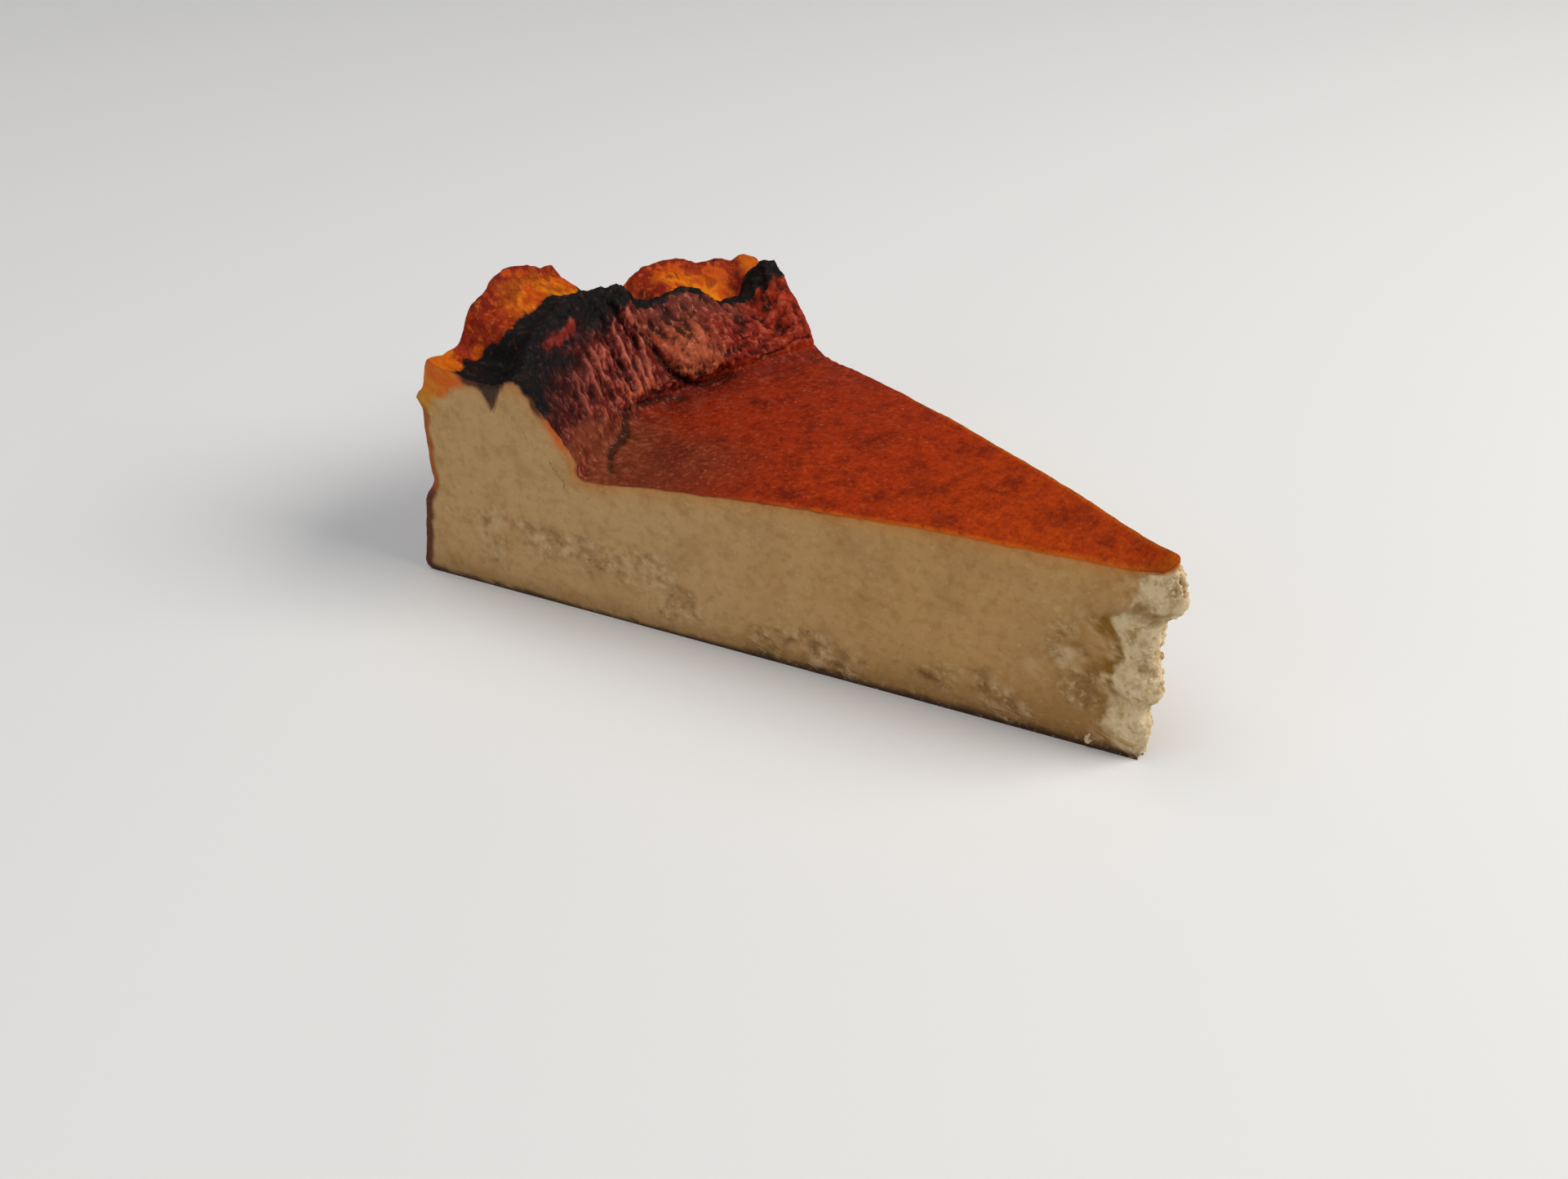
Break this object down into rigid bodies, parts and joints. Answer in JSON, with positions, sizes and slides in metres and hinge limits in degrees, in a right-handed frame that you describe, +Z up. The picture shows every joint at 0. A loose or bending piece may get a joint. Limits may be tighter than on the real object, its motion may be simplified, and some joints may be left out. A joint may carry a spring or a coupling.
{
  "type": "slice of basque cheesecake",
  "caption": "Wedge of burnt cheesecake with a flat browned top, a tall folded and blackened outer rim, two plain cut faces and a torn tip.",
  "frame": {"origin": "middle of the slice's bounding box at the height of its flat base", "axes": "+Z up; +X along the slice from its folded rim to its pointed tip, its longest extent; +Y towards the cut face that is hidden in the picture"},
  "size_m": [0.1274, 0.0772, 0.0483],
  "materials": {
    "cheesecake": "soft baked curd under a browned, in places blackened, satin skin"
  },
  "bodies": {
    "root": {"cheesecake_slice": "cheesecake"}
  },
  "joints": []
}
